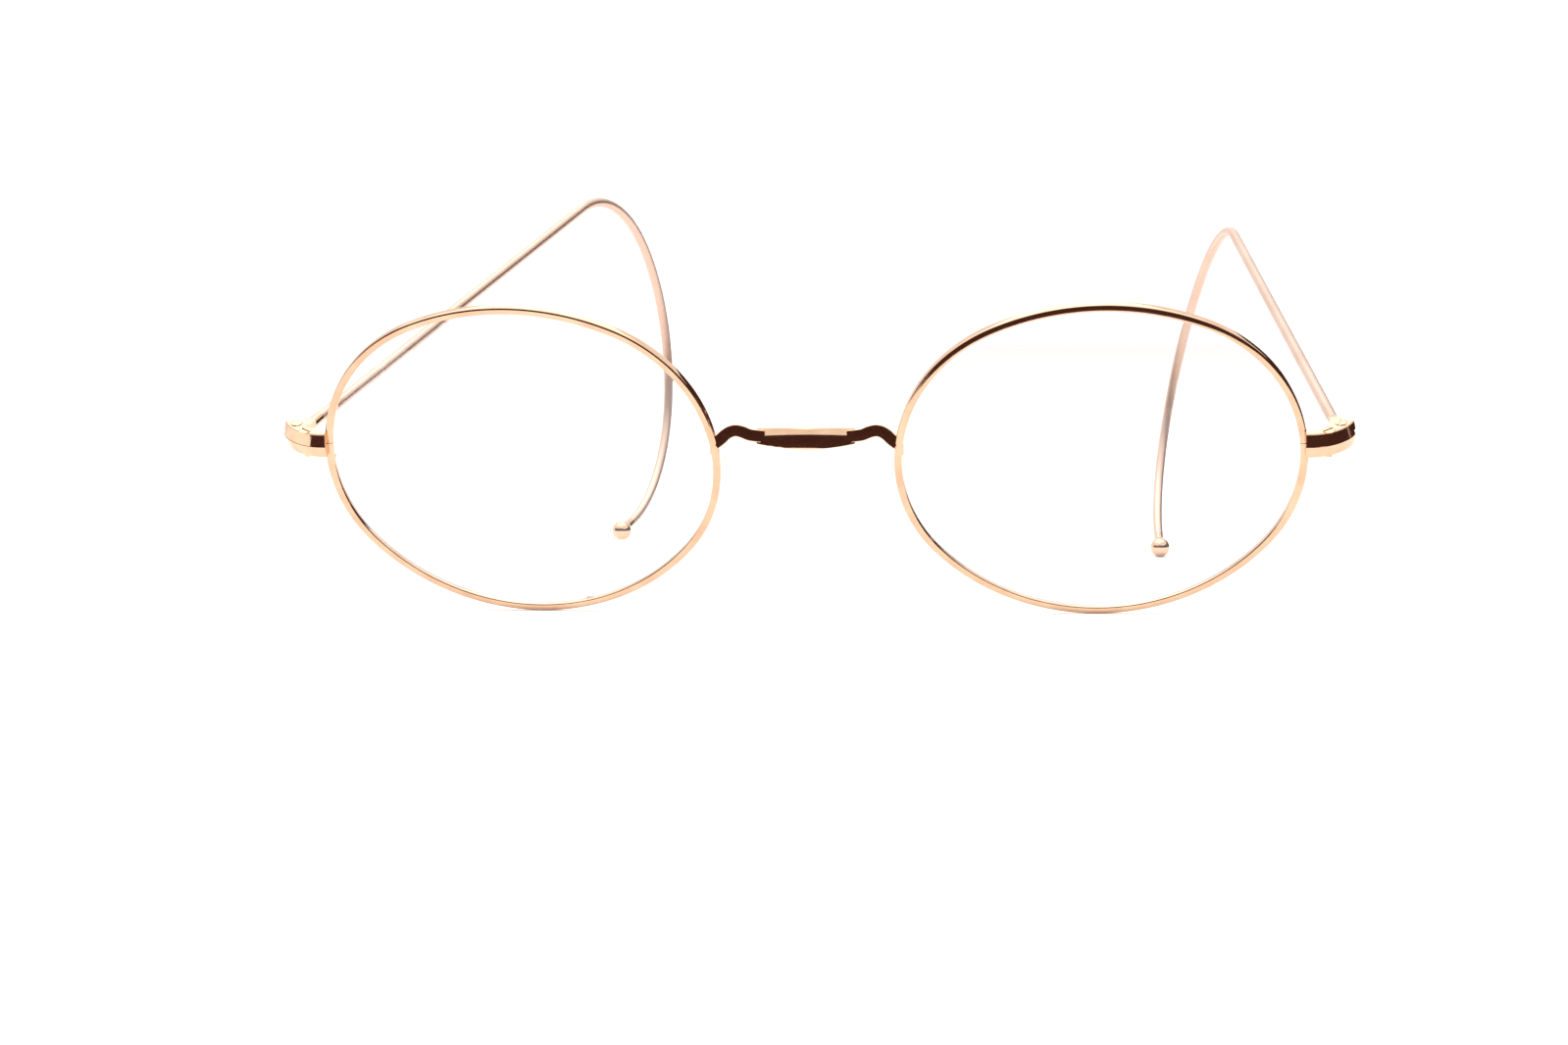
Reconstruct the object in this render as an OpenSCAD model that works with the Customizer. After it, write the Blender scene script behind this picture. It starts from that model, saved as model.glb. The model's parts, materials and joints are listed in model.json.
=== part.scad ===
// Oval wire eyeglasses with a saddle bridge, split endpieces and curl temples.
// Built in the wearing frame: +X to the wearer's left, +Y towards the ears, +Z up, the middle of
// both lenses at z = 0. Then leaned forward so that it rests on its rims and a temple tip.

/* [Rims and lenses] */
// Outer width of one rim
rim_w = 48; // [44:0.5:52]
// Outer height of the rim above the widest point
rim_up = 20.2; // [19.6:0.1:21]
// Outer height of the rim below the widest point
rim_low = 20.6; // [20:0.1:22]
// Radius of the rim's upper side corners
side_r_up = 19.2; // [17:0.1:19.4]
// Radius of the rim's lower side corners
side_r_low = 17.8; // [16:0.1:19]
// Width of the rim wire as seen from the front
rim_t = 0.92; // [0.8:0.02:1.4]
// Depth of the rim wire from front to back
rim_d = 1.2; // [1.1:0.05:2]
// Distance from the middle of the glasses to the middle of a lens
lens_x = 34.2; // [33.5:0.1:36]
// Angle by which each rim is turned back at its outer side
face_form = 3; // [1:0.5:5]
// Thickness of a lens
lens_t = 1.5; // [1.2:0.1:2]
// Radius of the lens's front surface
lens_r = 180; // [150:10:400]

/* [Bridge] */
// Width of the flat panel over the nose
panel_w = 11.6; // [9:0.1:13]
// Height of the panel at its ends
panel_h = 2.1; // [1.6:0.05:2.6]
// Extra height at the middle of the panel's lower edge
panel_drop = 0.75; // [0.2:0.05:0.9]
// Backward lean of the panel's upper edge, so that it lies on the slope of a nose
panel_lean = 36; // [25:1:40]
// Height of the panel's upper edge above the middle of the lenses
panel_top = 5; // [4:0.1:5.5]

/* [Endpieces] */
// Height of an endpiece
end_h = 3; // [2.8:0.1:3.4]
// Overall width of the front over both endpieces
front_w = 127.4; // [127:0.1:128]
// Height of the endpieces' middle above the middle of the lenses
end_z = 1.8; // [1:0.1:2.4]
// Thickness of the slot that holds the temple's eye
slot_t = 1; // [0.9:0.05:1.2]

/* [Temples] */
// Distance of each hinge axis from the middle
hinge_x = 61.9; // [61.6:0.1:62.4]
// Distance of each hinge axis behind the lenses
hinge_y = 3; // [2.8:0.05:3.2]
// Length of the straight part of the left and the right temple, from the hinge axis
straight_len = [89.1, 94.7]; // [80:0.1:100]
// Angle of the last bend of the left and the right curl
last_turn = [66.5, 52.5]; // [40:0.5:80]
// Diameter of the temple wire
wire_d = 1.32; // [1.2:0.02:1.6]
// Diameter of the ball at the tip
ball_d = 2.8; // [2.4:0.1:3.2]
// Downward slope of the left and the right temple
droop = [5.9, 10.3]; // [5:0.1:12]
// Inward lean of the left and the right curl
twist = [8, 14]; // [5:1:18]
// Inward fold of the left and the right temple as stored
fold = [13.2, 6.5]; // [0:0.1:20]

/* [Resting] */
// Forward lean of the front when the glasses stand on their rims and tips
rest_tilt = 25.8; // [20:0.1:30]
// Distance of the origin behind the lenses, along the surface
origin_y = 55.4; // [45:0.1:65]

/* [Hidden] */
$fn = 96;
LEFT = 0;
RIGHT = 1;
GOLD = "#e9bd8a";
PALE = "#f2c8ac";
CLEAR = [0.9, 0.95, 1, 0.3];

rim_chamfer = 0.14;
groove_d = 0.35;
split_gap = 0.06;
// Where two arcs of one wire meet, one is this much thinner so that they join cleanly
hair = 0.004;
// The curl as tangent arcs: radius and angle of each, from the straight part to the tip
function curl(side) = [[21, 65], [26.5, 51], [22.5, last_turn[side]]];
neck_len = 2.4;
neck_wide = 1.75;
joint_len = 5.6;
barrel_d = 1.4;
barrel_start = 2.4;
eye_r = 1.26;
eye_gap = 0.08;
eye_play = 0.02;
strip_w = 1.4;

front_y = -0.35;
wrap_r = 6.1;
wrap_x = lens_x + rim_w / 2;
boss_back = hinge_y + 0.85;
boss_in = hinge_x - 1.35;
boss_round = 0.85;
// Bridge: height, depth and backward lean of an arm, depth of the panel, how far it stands forward, its face's two radii
arm_h = 1.45;
arm_d = 0.9;
arm_lean = 26;
panel_d = 1.2;
proud = 0.15;
belly_r = 3.2;
bow_r = 25;
rim_screw_x = hinge_x - 1.45;
rim_screw_y = hinge_y - 1.95;
hinge_shank_r = 0.5;
rim_shank_r = 0.45;
head_h = 0.14;
rest_h = rim_low * cos(rest_tilt) + (rim_d / 2 - rim_chamfer) * sin(rest_tilt) + 0.01;

// ---------------------------------------------------------------- oval outline

// Radius of the arc that closes half an oval of height h over side arcs of radius r
function crown_r(h, r) = (pow(rim_w / 2 - r, 2) + h * h - r * r) / (2 * (h - r));
function half_arcs(h, r) =
    let (c = crown_r(h, r), side = rim_w / 2 - r, turn = atan2(c - h, side))
    [[side, 0, r, 0, turn], [0, h - c, c, turn, 180 - 2 * turn], [-side, 0, r, 180 - turn, turn]];
// Every arc of the outer outline: centre x, centre z, radius, start angle, sweep
ARCS = concat(
    half_arcs(rim_up, side_r_up),
    [for (a = half_arcs(rim_low, side_r_low)) [-a[0], -a[1], a[2], a[3] + 180, a[4]]]);

// The outline as points, moved in by inset
function oval_points(inset, n = 20) =
    [for (a = ARCS) for (k = [0 : n - 1])
        let (t = a[3] + a[4] * k / n) [a[0], a[1]] + (a[2] - inset) * [cos(t), sin(t)]];

// The filled outline, moved in by inset and thick along y
module oval_plate(inset, thick) {
    rotate([90, 0, 0])
        linear_extrude(thick, center = true)
            polygon(oval_points(inset));
}

// Cross-section of the rim wire: chamfered outside, V groove for the lens inside
module rim_section(less) {
    o = -less;
    i = less - rim_t;
    d = rim_d / 2 - less;
    c = rim_chamfer;
    g = groove_d;
    polygon([[o - c, -d], [o, c - d], [o, d - c], [o - c, d], [i + c, d], [i, d - c],
             [i, g], [i + g, 0.08], [i + g, -0.08], [i, -g], [i, c - d], [i + c, -d]]);
}

// ---------------------------------------------------------------- placing

module stand() {
    translate([0, -origin_y, rest_h])
        rotate([rest_tilt, 0, 0])
            children();
}
// Places the right-hand shape on its side
module on_side(side) {
    stand()
        mirror([side == LEFT ? 1 : 0, 0, 0])
            children();
}
module at_lens() {
    translate([lens_x, 0, 0])
        rotate([0, 0, face_form])
            children();
}
module at_hinge() {
    translate([hinge_x, hinge_y, end_z])
        children();
}
module at_rim_screw() {
    translate([rim_screw_x, rim_screw_y, end_z])
        children();
}
module along_temple(side) {
    at_hinge()
        rotate([0, 0, fold[side]])
            rotate([-droop[side], 0, 0])
                rotate([0, twist[side], 0])
                    children();
}

// ---------------------------------------------------------------- front

// One arc of a rim. Every second arc is a hair thinner and runs on into its neighbours
module rim_arc(a, inner) {
    more = inner * 0.3 / a[2] * 180 / PI;
    translate([a[0], a[1], 0])
        rotate([0, 0, a[3] - more])
            rotate_extrude(angle = a[4] + 2 * more, $fn = 180)
                translate([a[2], 0])
                    rim_section(inner * hair);
}

module rim(side) {
    color(GOLD)
        on_side(side)
            difference() {
                at_lens()
                    rotate([90, 0, 0])
                        for (k = [0 : len(ARCS) - 1])
                            rim_arc(ARCS[k], k % 2);
                translate([lens_x + rim_w / 2 - 2, -3, end_z - split_gap / 2])
                    cube([4, 8, split_gap]);
            }
}

// A shallow dish: both faces are spheres around one centre
module dish(r_front, thick, width) {
    rotate_extrude($fn = 180)
        intersection() {
            difference() {
                circle(r_front, $fn = 720);
                circle(r_front - thick, $fn = 720);
            }
            translate([0, r_front / 2])
                square([width / 2, r_front]);
        }
}

module lens(side) {
    seat = rim_t + 0.03;
    ridge = rim_t - groove_d + 0.04;
    sag = 1.35;
    color(CLEAR)
        on_side(side)
            at_lens() {
                intersection() {
                    oval_plate(seat, 8);
                    translate([0, lens_r - sag - lens_t / 2, 0])
                        rotate([90, 0, 0])
                            dish(lens_r, lens_t, rim_w + 8);
                }
                oval_plate(ridge, 0.14);
            }
}

// A strip of constant width along a path in the x-z plane
function strip_side(path, w, s) = [for (k = [0 : len(path) - 1])
    let (a = path[max(k - 1, 0)], b = path[min(k + 1, len(path) - 1)], d = (b - a) / norm(b - a))
    path[k] + s * w / 2 * [-d[1], d[0]]];
function reversed(list) = [for (k = [len(list) - 1 : -1 : 0]) list[k]];

module bridge_arm() {
    path = [[panel_w / 2 - 1, 3.65], [6.5, 3.83], [7.4, 4.17], [8.2, 4.35], [8.9, 4.2], [9.5, 3.83], [10, 3.35], [10.8, 2.74]];
    translate([0, 0, 3])
        rotate([-arm_lean, 0, 0])
            translate([0, 0, -3])
                rotate([90, 0, 0])
                    linear_extrude(arm_d, center = true)
                        polygon(concat(strip_side(path, arm_h, 1), reversed(strip_side(path, arm_h, -1))));
}

// The foot of solder where an arm meets a rim
module bridge_foot() {
    translate([10.2, 0, 0])
        rotate([90, 0, 0])
            linear_extrude(arm_d + 0.2, center = true)
                polygon([[-0.35, 3.2], [0.6, 3.9], [1.6, 3.6], [1.6, 1], [0.35, 1.1], [0.05, 2.2]]);
}

// Convex in front and flat behind, deepest in the middle of its lower edge
module bridge_panel() {
    mid_z = panel_top - (panel_h + panel_drop) / 2;
    bow = panel_w * panel_w / (8 * panel_drop) + panel_drop / 2;
    translate([0, 0, mid_z])
        rotate([-panel_lean, 0, 0])
            intersection() {
                translate([0, bow_r - panel_d / 2 - proud, 0])
                    rotate([0, 0, -106])
                        rotate_extrude(angle = 32, $fn = 180)
                            intersection() {
                                translate([bow_r - belly_r, 0]) circle(belly_r, $fn = 180);
                                translate([bow_r - panel_d, -5]) square([panel_d, 10]);
                            }
                translate([0, 0, -mid_z])
                    rotate([90, 0, 0])
                        linear_extrude(5, center = true)
                            union() {
                                translate([-panel_w / 2, panel_top - panel_h]) square([panel_w, panel_h]);
                                intersection() {
                                    translate([0, panel_top - panel_h - panel_drop + bow]) circle(bow, $fn = 180);
                                    translate([-panel_w / 2, panel_top - panel_h - 1]) square([panel_w, 2]);
                                }
                            }
            }
}
module bridge() {
    nasal_y = -(rim_w / 2) * sin(face_form);
    color(GOLD)
        stand()
            difference() {
                union() {
                    translate([0, nasal_y, 0]) {
                        bridge_panel();
                        for (s = [0, 1])
                            mirror([s, 0, 0]) {
                                bridge_arm();
                                bridge_foot();
                            }
                    }
                }
                for (s = [0, 1])
                    mirror([s, 0, 0])
                        at_lens()
                            oval_plate(-0.01, 6);
            }
}

// Outer edge of an endpiece: a thin bevel above, a flat band, a steep wide bevel below
module end_profile(depth) {
    h = end_h / 2;
    polygon([[0, -h], [depth - 0.35, -h], [depth, -0.05], [depth - 0.42, h - 0.12], [depth - 0.56, h], [0, h]]);
}

// The whole endpiece before it is split, around its middle height
module end_plan() {
    out = front_w / 2;
    polygon([[wrap_x - 2, -2], [out, -2], [out, boss_back - boss_round], [boss_in, boss_back - boss_round],
             [boss_in, 2.1], [wrap_x, 1.15], [wrap_x - 2, 1.15]]);
    for (x = [boss_in + boss_round, out - boss_round])
        translate([x, boss_back - boss_round])
            circle(boss_round, $fn = 60);
    translate([boss_in + boss_round, boss_back - boss_round])
        square([out - boss_in - 2 * boss_round, boss_round]);
}
module end_block() {
    intersection() {
        union() {
            translate([wrap_x, front_y + wrap_r, 0])
                rotate([0, 0, -90])
                    rotate_extrude(angle = 90, $fn = 180)
                        end_profile(wrap_r);
            translate([wrap_x - 1.6, front_y + wrap_r, 0])
                rotate([90, 0, 90])
                    linear_extrude(1.62)
                        mirror([1, 0])
                            end_profile(wrap_r);
        }
        linear_extrude(end_h + 1, center = true)
            end_plan();
    }
}
module eye_slot() {
    back = hinge_y - 0.9;
    translate([0, 0, -slot_t / 2]) {
        translate([hinge_x, hinge_y, 0])
            cylinder(r = eye_r + eye_gap, h = slot_t);
        translate([hinge_x - 8, back, 0])
            cube([8, 6, slot_t]);
        translate([hinge_x - 1, hinge_y, 0])
            cube([6, 6, slot_t]);
    }
}

// half = 1 for the upper half, -1 for the lower
module endpiece(side, half) {
    hole = half == 1 ? 0.04 : 0.02;
    color(GOLD)
        on_side(side)
            difference() {
                translate([0, 0, end_z])
                    difference() {
                        intersection() {
                            end_block();
                            translate([lens_x, -5, half == 1 ? split_gap / 2 : -5 - split_gap / 2])
                                cube([40, 20, 5]);
                        }
                        eye_slot();
                    }
                at_lens() oval_plate(-0.01, 6);
                at_hinge() cylinder(r = hinge_shank_r + hole, h = 6, center = true);
                at_rim_screw() cylinder(r = rim_shank_r + hole, h = 6, center = true);
            }
}

// A slotted screw with its head on the endpiece and its end showing below
module screw(head_r, shank_r, stick_out) {
    slot_w = 0.26;
    slot_d = 0.1;
    top = end_h / 2;
    difference() {
        union() {
            translate([0, 0, top + 0.01])
                rotate_extrude()
                    polygon([[0, 0], [head_r, 0], [head_r, head_h * 0.4], [head_r - 0.14, head_h], [0, head_h]]);
            translate([0, 0, -top - stick_out])
                cylinder(r = shank_r, h = end_h + stick_out + 0.1);
        }
        translate([-head_r - 1, -slot_w / 2, top + 0.01 + head_h - slot_d])
            cube([2 * head_r + 2, slot_w, 1]);
    }
}

module rim_screw(side) {
    color(PALE)
        on_side(side)
            at_rim_screw()
                rotate([0, 0, 35])
                    screw(0.74, rim_shank_r, 0.35);
}
module hinge_screw(side) {
    color(PALE)
        on_side(side)
            at_hinge()
                rotate([0, 0, -20])
                    screw(0.74, hinge_shank_r, 0.1);
}

// ---------------------------------------------------------------- temples

// The flat eye that turns on the hinge screw, with the barrel that holds the wire
module temple_joint(side) {
    thick = slot_t - 2 * eye_play;
    color(GOLD)
        on_side(side)
            difference() {
                union() {
                    at_hinge()
                        rotate([0, 0, fold[side]])
                            translate([0, 0, -thick / 2]) {
                                cylinder(r = eye_r, h = thick);
                                translate([-strip_w / 2, 0, 0])
                                    cube([strip_w, barrel_start + 1, thick]);
                            }
                    along_temple(side)
                        translate([0, barrel_start, 0])
                            rotate([-90, 0, 0]) {
                                cylinder(d1 = barrel_d * 0.8, d2 = barrel_d, h = 1);
                                translate([0, 0, 1])
                                    cylinder(d = barrel_d, h = joint_len - barrel_start - 2);
                                translate([0, 0, joint_len - barrel_start - 1])
                                    cylinder(d1 = barrel_d, d2 = wire_d + 0.1, h = 1);
                            }
                }
                at_hinge() cylinder(r = hinge_shank_r + 0.04, h = 4, center = true);
            }
}

// Follows the curl's arcs one after the other, drawing the wire or only what stands at its end
module follow(arcs, k, draw) {
    if (k < len(arcs)) {
        r = arcs[k][0];
        turn = arcs[k][1];
        lap = 0.3 / r * 180 / PI;
        if (draw)
            translate([0, 0, -r])
                rotate([90, 0, 90])
                    rotate([0, 0, 90 - turn])
                        rotate_extrude(angle = turn + lap)
                            translate([r, 0]) circle(d = wire_d - 2 * hair * (k + 1), $fn = 32);
        translate([0, r * sin(turn), -r * (1 - cos(turn))])
            rotate([-turn, 0, 0])
                follow(arcs, k + 1, draw) children();
    } else children();
}

module temple_wire(side) {
    color(PALE)
        on_side(side)
            along_temple(side) {
                translate([0, joint_len, 0])
                    rotate([-90, 0, 0])
                        cylinder(d = wire_d, h = straight_len[side] - joint_len, $fn = 32);
                translate([0, straight_len[side], 0])
                    follow(curl(side), 0, true);
            }
}

module tip(side) {
    r = ball_d / 2;
    color(GOLD)
        on_side(side)
            along_temple(side)
                translate([0, straight_len[side], 0])
                    follow(curl(side), 0, false)
                        rotate([-90, 0, 0]) {
                            cylinder(d1 = wire_d + 0.05, d2 = neck_wide, h = neck_len);
                            translate([0, 0, neck_len + r * 0.75])
                                sphere(r, $fn = 48);
                        }
}

rim(LEFT);  // rim_left
rim(RIGHT);  // rim_right
lens(LEFT);  // lens_left
lens(RIGHT);  // lens_right
bridge();
endpiece(LEFT, 1);  // endpiece_upper_left
endpiece(LEFT, -1);  // endpiece_lower_left
endpiece(RIGHT, 1);  // endpiece_upper_right
endpiece(RIGHT, -1);  // endpiece_lower_right
rim_screw(LEFT);  // rim_screw_left
rim_screw(RIGHT);  // rim_screw_right
hinge_screw(LEFT);  // hinge_screw_left
hinge_screw(RIGHT);  // hinge_screw_right
temple_joint(LEFT);  // temple_joint_left
temple_joint(RIGHT);  // temple_joint_right
temple_wire(LEFT);  // temple_wire_left
temple_wire(RIGHT);  // temple_wire_right
tip(LEFT);  // tip_left
tip(RIGHT);  // tip_right
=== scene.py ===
# %% [markdown]
# # Old-style wire spectacles with curled temples
# The frame comes in as a finished CAD model with real joints.
# This lesson gives it its looks: polished and satin rose-gold plate, clear lenses, a pale table
# and soft light.
# Every piece is modelled again with spins, extrusions and cuts, because a spun wire is smooth all round.

# %% Load the frame
import json
import math

import bmesh
import bpy
from mathutils import Matrix, Vector


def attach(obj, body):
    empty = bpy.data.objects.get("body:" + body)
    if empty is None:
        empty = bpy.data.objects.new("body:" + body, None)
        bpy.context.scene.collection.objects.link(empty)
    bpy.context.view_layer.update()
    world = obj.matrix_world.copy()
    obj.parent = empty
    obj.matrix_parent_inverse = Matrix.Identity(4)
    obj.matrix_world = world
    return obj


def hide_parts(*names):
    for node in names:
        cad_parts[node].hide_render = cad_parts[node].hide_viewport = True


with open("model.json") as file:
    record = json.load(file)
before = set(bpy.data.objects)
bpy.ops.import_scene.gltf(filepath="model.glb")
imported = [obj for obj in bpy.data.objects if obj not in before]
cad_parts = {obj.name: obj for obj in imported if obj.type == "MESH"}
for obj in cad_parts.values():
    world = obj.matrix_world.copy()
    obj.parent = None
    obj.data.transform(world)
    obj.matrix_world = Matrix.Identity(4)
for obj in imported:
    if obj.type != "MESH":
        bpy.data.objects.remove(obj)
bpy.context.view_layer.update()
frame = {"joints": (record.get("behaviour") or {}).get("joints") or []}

# %% [markdown]
# ## One ruler for every piece
# Spectacles are drawn in millimetres, upright, as they are worn: X to the side, Y back to the ears, Z up.
# On the table the front leans forward, so one matrix tilts what is drawn upright.
# The CAD hinge gives both the lean and the place, because its axis is upright when the glasses are worn.

# %% The wearing frame
MM = 0.001
HINGE = Vector((61.9, 3.0, 1.8))
hinge = next(j for j in frame["joints"] if j["name"] == "right_hinge")
lean = math.atan2(-hinge["axis"][1], hinge["axis"][2])
tilt = Matrix.Rotation(lean, 4, "X")
WORN = Matrix.Translation(Vector(hinge["pos_m"]) - tilt @ (HINGE * MM)) @ tilt @ Matrix.Scale(MM, 4)
# all is drawn for the right side, and the left side is its mirror image
SIDES = ("left", "right")
FLIP = {"left": Matrix.Scale(-1, 4, (1, 0, 0)), "right": Matrix.Identity(4)}
print(f"the front leans {math.degrees(lean):.1f} degrees")

# %% [markdown]
# ## Small tools
# Blender's operators act on whatever is selected, so each piece starts with nothing selected.
# A piece is drawn in millimetres, then its place goes into its mesh, and its faces are turned outwards.


# %% Helpers for modelling
def clear_selection():
    if bpy.context.object and bpy.context.object.mode == "EDIT":
        bpy.ops.object.mode_set(mode="OBJECT")
    bpy.ops.object.select_all(action="DESELECT")


def only(piece):
    clear_selection()
    piece.select_set(True)
    bpy.context.view_layer.objects.active = piece


def open_all():
    """Fixes the active piece's place in its mesh, then opens it with all of it selected."""
    bpy.ops.object.transform_apply(location=True, rotation=True, scale=True)
    bpy.ops.object.mode_set(mode="EDIT")
    bpy.ops.mesh.select_all(action="SELECT")
    return bpy.context.object


def close(merge=0.0):
    """Merges points closer than a distance in millimetres, turns the faces outwards and leaves edit mode."""
    bpy.ops.mesh.select_all(action="SELECT")
    if merge:
        bpy.ops.mesh.remove_doubles(threshold=merge)
    bpy.ops.mesh.normals_make_consistent(inside=False)
    bpy.ops.object.mode_set(mode="OBJECT")


def select_verts(piece, wanted):
    """Leaves only the vertices selected whose place passes the test."""
    bpy.ops.mesh.select_mode(type="VERT")
    bpy.ops.mesh.select_all(action="DESELECT")
    mesh = bmesh.from_edit_mesh(piece.data)
    for vert in mesh.verts:
        vert.select_set(wanted(vert.co))
    mesh.select_flush_mode()
    bmesh.update_edit_mesh(piece.data)


def modifier(piece, kind, **settings):
    """Adds one modifier, sets it and applies it."""
    only(piece)
    bpy.ops.object.modifier_add(type=kind)
    added = piece.modifiers[-1]
    for name, value in settings.items():
        setattr(added, name, value)
    bpy.ops.object.modifier_apply(modifier=added.name)


def combine(piece, operation, *others):
    """Unites a piece with others, cuts them away, or keeps what they share. The others are used up."""
    for other in others:
        modifier(piece, "BOOLEAN", operation=operation, object=other, solver="EXACT")
        bpy.data.objects.remove(other)


def ease_edges(piece, width, segments=3, over=30):
    """Rounds every edge sharper than an angle, as polishing does."""
    modifier(piece, "BEVEL", width=width, segments=segments, limit_method="ANGLE",
             angle_limit=math.radians(over), harden_normals=False)


def swing(angle, axis, centre):
    """Turns the selection. With no window the operator goes the other way round, hence the minus."""
    bpy.ops.transform.rotate(value=-angle, orient_axis=axis, center_override=centre)


def start_at(*place):
    """A new piece in edit mode that is one single point."""
    clear_selection()
    bpy.ops.mesh.primitive_plane_add(size=1, location=place)
    piece = open_all()
    bpy.ops.mesh.merge(type="CENTER")
    return piece


def draw(*step):
    """Draws a straight edge from the selected point."""
    bpy.ops.mesh.extrude_vertices_move(TRANSFORM_OT_translate={"value": step})


def line_to(place, start):
    """Draws a straight edge from the selected point to a new one."""
    draw(*(Vector(place) - Vector(start)))
    return place


def push(*step):
    """Extrudes what is selected."""
    bpy.ops.mesh.extrude_region_move(TRANSFORM_OT_translate={"value": step})


def push_rings(rings, at, radius, axis):
    """Pushes the selected face along an axis (0, 1 or 2), ring by ring, and gives each ring its radius."""
    for new_at, new_radius in rings:
        step, centre, size = [0, 0, 0], [0, 0, 0], [new_radius / radius] * 3
        step[axis], centre[axis], size[axis] = new_at - at, new_at, 1
        push(*step)
        bpy.ops.transform.resize(value=size, center_override=centre)
        at, radius = new_at, new_radius


def disc(vertices, radius, place, quarter_turn=False):
    """A filled ring, open for editing. It faces up, or after a quarter turn along Y."""
    clear_selection()
    bpy.ops.mesh.primitive_circle_add(vertices=vertices, radius=radius, location=place, fill_type="NGON",
                                      rotation=(math.pi / 2 if quarter_turn else 0, 0, 0))
    return open_all()


def box(place, size):
    clear_selection()
    bpy.ops.mesh.primitive_cube_add(size=1, location=place, scale=size)
    return bpy.context.object


def settle(piece, name, body, nodes, material, matrix, smooth=40):
    """Puts a drawn piece in its place, turns its faces outwards and hands it to its CAD body."""
    only(piece)
    piece.name = piece.data.name = name
    piece.matrix_world = matrix
    open_all()
    close()
    bpy.ops.object.shade_smooth_by_angle(angle=math.radians(smooth))
    piece.data.materials.clear()
    piece.data.materials.append(material)
    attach(piece, body)
    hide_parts(*nodes)
    print(f"{name}: {len(piece.data.polygons)} faces, rides on {body}")
    return piece


def copy_of(piece):
    twin = piece.copy()
    twin.data = piece.data.copy()
    bpy.context.scene.collection.objects.link(twin)
    return twin


# %% [markdown]
# ## Colours and nodes
# A screen colour is sRGB, and a shader works in linear light, so one function turns hex values.
# Another adds a node with its settings, numbers and links. Four more build what every finish needs: noise of
# a real size, a colour between two, a roughness between two, and the links of a metal.


# %% Helpers for materials
def srgb(code):
    channels = [int(code[i : i + 2], 16) / 255 for i in (1, 3, 5)]
    return tuple(c / 12.92 if c <= 0.04045 else ((c + 0.055) / 1.055) ** 2.4 for c in channels) + (1.0,)


def add_node(tree, kind, values=None, links=None, **settings):
    node = tree.nodes.new(kind)
    for name, value in settings.items():
        setattr(node, name, value)
    for socket, value in (values or {}).items():
        node.inputs[socket].default_value = value
    for socket, source in (links or {}).items():
        tree.links.new(source, node.inputs[socket])
    return node


def new_material(name):
    material = bpy.data.materials.new(name)
    material.use_nodes = True
    return material, material.node_tree, material.node_tree.nodes["Principled BSDF"]


def noise(tree, size, detail, vector=None, roughness=0.5):
    """Noise whose clumps are about this many millimetres across."""
    vector = vector or add_node(tree, "ShaderNodeTexCoord").outputs["Object"]
    values = {"Scale": 1 / (size * MM), "Detail": detail, "Roughness": roughness}
    return add_node(tree, "ShaderNodeTexNoise", values, {"Vector": vector}).outputs["Fac"]


def tint(tree, amount, low, high, start=0.0, end=1.0):
    """A colour between two hex values."""
    node = add_node(tree, "ShaderNodeValToRGB", links={"Fac": amount})
    for element, code, position in zip(node.color_ramp.elements, (low, high), (start, end)):
        element.color, element.position = srgb(code), position
    return node.outputs["Color"]


def gloss(tree, amount, low, high):
    """A roughness between two values."""
    node = add_node(tree, "ShaderNodeMapRange", {"To Min": low, "To Max": high}, {"Value": amount})
    return node.outputs["Result"]


def as_metal(tree, shader, colour, roughness, relief, strength, depth):
    """Links a metal's colour and roughness, and a relief of some depth in millimetres."""
    values = {"Strength": strength, "Distance": depth * MM}
    bump = add_node(tree, "ShaderNodeBump", values, {"Height": relief})
    shader.inputs["Metallic"].default_value = 1.0
    sources = {"Base Color": colour, "Roughness": roughness, "Normal": bump.outputs["Normal"]}
    for socket, source in sources.items():
        tree.links.new(source, shader.inputs[socket])


# %% [markdown]
# ## Polished rose-gold plate
# The front is nickel silver with a thin plate of copper-rich gold, buffed on a cotton wheel.
# The eye sees a mirror that is warm and slightly pink, with clouds where the wheel left it a touch less
# bright, and hairlines that only show where a reflection ends.

# %% Polished rose gold
polished, tree, shader = new_material("rose_gold_plate_polished")
place = add_node(tree, "ShaderNodeTexCoord").outputs["Object"]
# buffing clouds are about 3 mm across
clouds = noise(tree, 3, 3.0, place)
# hairlines are 0.01 mm wide on the real plate, drawn 0.06 mm wide so that they show
along = add_node(tree, "ShaderNodeMapping", {"Scale": (1.0, 5.0, 5.0), "Rotation": (0.3, 0.2, 0.5)},
                 {"Vector": place})
hairlines = noise(tree, 0.3, 2.0, along.outputs["Vector"])
as_metal(tree, shader, tint(tree, clouds, "#DAB091", "#E8C3A3", 0.3, 0.7), gloss(tree, clouds, 0.045, 0.11),
         hairlines, strength=0.05, depth=0.004)
print("made", polished.name)

# %% [markdown]
# ## Satin rose-gold plate
# The temples are drawn wire with the same plate over a matt, wire-brushed surface.
# The eye sees a soft pink sheen with no clear reflection, and a fine grain.

# %% Satin rose gold
satin, tree, shader = new_material("rose_gold_plate_satin")
place = add_node(tree, "ShaderNodeTexCoord").outputs["Object"]
# the brushed grain is 0.02 mm on the real wire, drawn at 0.15 mm so that it shows
grain = noise(tree, 0.15, 4.0, place, roughness=0.6)
# handling wear comes in patches of about 8 mm
patches = noise(tree, 8, 2.0, place)
as_metal(tree, shader, tint(tree, patches, "#D8B7A4", "#E2C3B1", 0.3, 0.7), gloss(tree, grain, 0.34, 0.46),
         grain, strength=0.08, depth=0.01)
print("made", satin.name)

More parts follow.
